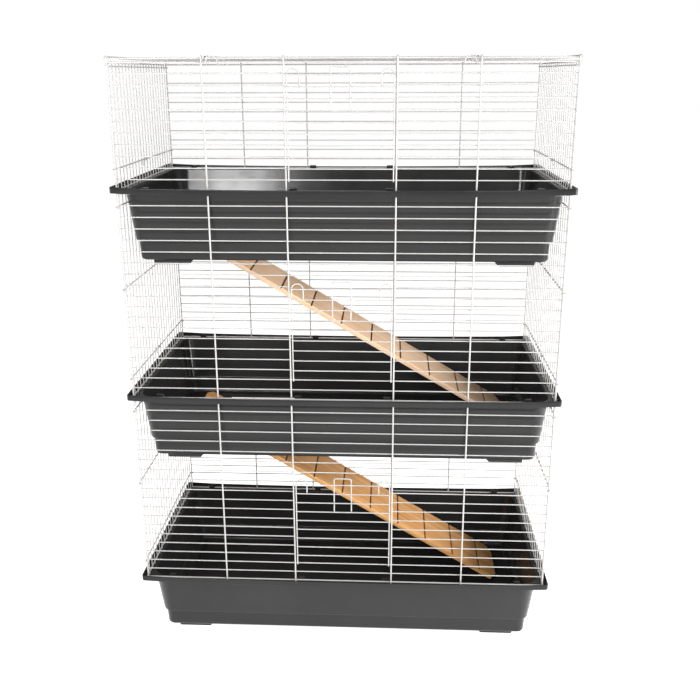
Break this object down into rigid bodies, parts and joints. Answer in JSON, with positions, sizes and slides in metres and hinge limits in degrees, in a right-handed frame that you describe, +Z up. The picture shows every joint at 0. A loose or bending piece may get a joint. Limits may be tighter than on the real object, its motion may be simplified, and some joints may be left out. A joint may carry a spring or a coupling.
{
  "type": "wire rabbit cage",
  "caption": "Tall multi-storey wire cage for rabbits on deep moulded trays, with drop-down doors, wooden ramps between the storeys and a lifting roof lid.",
  "frame": {"origin": "centre of the footprint, on the floor under the feet", "axes": "+X to the right, +Y to the back, +Z up; the doors are on the -Y side"},
  "size_m": [1, 0.522, 1.402],
  "materials": {
    "tray_plastic": "semi-gloss moulded charcoal",
    "coated_wire": "cream powder coat",
    "ramp_wood": "bare planed pine"
  },
  "bodies": {
    "cage": {"tray_1": "tray_plastic", "tray_2": "tray_plastic", "tray_3": "tray_plastic", "front_panel_1": "coated_wire", "front_panel_2": "coated_wire", "front_panel_3": "coated_wire", "back_panel_1": "coated_wire", "back_panel_2": "coated_wire", "back_panel_3": "coated_wire", "left_panel_1": "coated_wire", "left_panel_2": "coated_wire", "left_panel_3": "coated_wire", "right_panel_1": "coated_wire", "right_panel_2": "coated_wire", "right_panel_3": "coated_wire", "roof_panel": "coated_wire"},
    "door_body_1": {"door_1": "coated_wire", "door_handle_1": "coated_wire"},
    "door_body_2": {"door_2": "coated_wire", "door_handle_2": "coated_wire"},
    "door_body_3": {"door_3": "coated_wire", "door_handle_3": "coated_wire"},
    "left_clip_body_1": {"left_clip_1": "coated_wire"},
    "left_clip_body_2": {"left_clip_2": "coated_wire"},
    "left_clip_body_3": {"left_clip_3": "coated_wire"},
    "right_clip_body_1": {"right_clip_1": "coated_wire"},
    "right_clip_body_2": {"right_clip_2": "coated_wire"},
    "right_clip_body_3": {"right_clip_3": "coated_wire"},
    "lid_body": {"roof_lid": "coated_wire"},
    "latch_body_left": {"roof_latch_left": "coated_wire"},
    "latch_body_right": {"roof_latch_right": "coated_wire"},
    "ramp_body_1": {"ramp_1": "ramp_wood"},
    "ramp_body_2": {"ramp_2": "ramp_wood"}
  },
  "joints": [
    {"name": "door_hinge_1", "type": "hinge", "parent": "cage", "child": "door_body_1", "pos_m": [0, -0.2474, 0.21895], "axis": [1, 0, 0], "range_deg": [0, 145]},
    {"name": "door_hinge_2", "type": "hinge", "parent": "cage", "child": "door_body_2", "pos_m": [0, -0.2474, 0.69595], "axis": [1, 0, 0], "range_deg": [0, 145]},
    {"name": "door_hinge_3", "type": "hinge", "parent": "cage", "child": "door_body_3", "pos_m": [0, -0.2474, 1.14875], "axis": [1, 0, 0], "range_deg": [0, 110]},
    {"name": "left_clip_swing_1", "type": "hinge", "parent": "cage", "child": "left_clip_body_1", "pos_m": [-0.4896, 0, 0.2155], "axis": [0, 1, 0], "range_deg": [0, 110]},
    {"name": "left_clip_swing_2", "type": "hinge", "parent": "cage", "child": "left_clip_body_2", "pos_m": [-0.4896, 0, 0.6925], "axis": [0, 1, 0], "range_deg": [0, 110]},
    {"name": "left_clip_swing_3", "type": "hinge", "parent": "cage", "child": "left_clip_body_3", "pos_m": [-0.4896, 0, 1.1695], "axis": [0, 1, 0], "range_deg": [0, 110]},
    {"name": "right_clip_swing_1", "type": "hinge", "parent": "cage", "child": "right_clip_body_1", "pos_m": [0.4896, 0, 0.2155], "axis": [0, -1, 0], "range_deg": [0, 110]},
    {"name": "right_clip_swing_2", "type": "hinge", "parent": "cage", "child": "right_clip_body_2", "pos_m": [0.4896, 0, 0.6925], "axis": [0, -1, 0], "range_deg": [0, 110]},
    {"name": "right_clip_swing_3", "type": "hinge", "parent": "cage", "child": "right_clip_body_3", "pos_m": [0.4896, 0, 1.1695], "axis": [0, -1, 0], "range_deg": [0, 110]},
    {"name": "roof_lid_hinge", "type": "hinge", "parent": "cage", "child": "lid_body", "pos_m": [0, 0.24615, 1.3964], "axis": [-1, 0, 0], "range_deg": [0, 110]},
    {"name": "roof_latch_turn_left", "type": "hinge", "parent": "cage", "child": "latch_body_left", "pos_m": [-0.266, -0.2469, 1.3884], "axis": [1, 0, 0], "range_deg": [0, 120]},
    {"name": "roof_latch_turn_right", "type": "hinge", "parent": "cage", "child": "latch_body_right", "pos_m": [0.266, -0.2469, 1.3884], "axis": [1, 0, 0], "range_deg": [0, 120]},
    {"name": "ramp_lift_1", "type": "hinge", "parent": "cage", "child": "ramp_body_1", "pos_m": [-0.38787, 0.0925, 0.492], "axis": [0, -1, 0], "range_deg": [0, 7]},
    {"name": "ramp_lift_2", "type": "hinge", "parent": "cage", "child": "ramp_body_2", "pos_m": [-0.38787, 0.0925, 0.969], "axis": [0, -1, 0], "range_deg": [0, 7]}
  ]
}
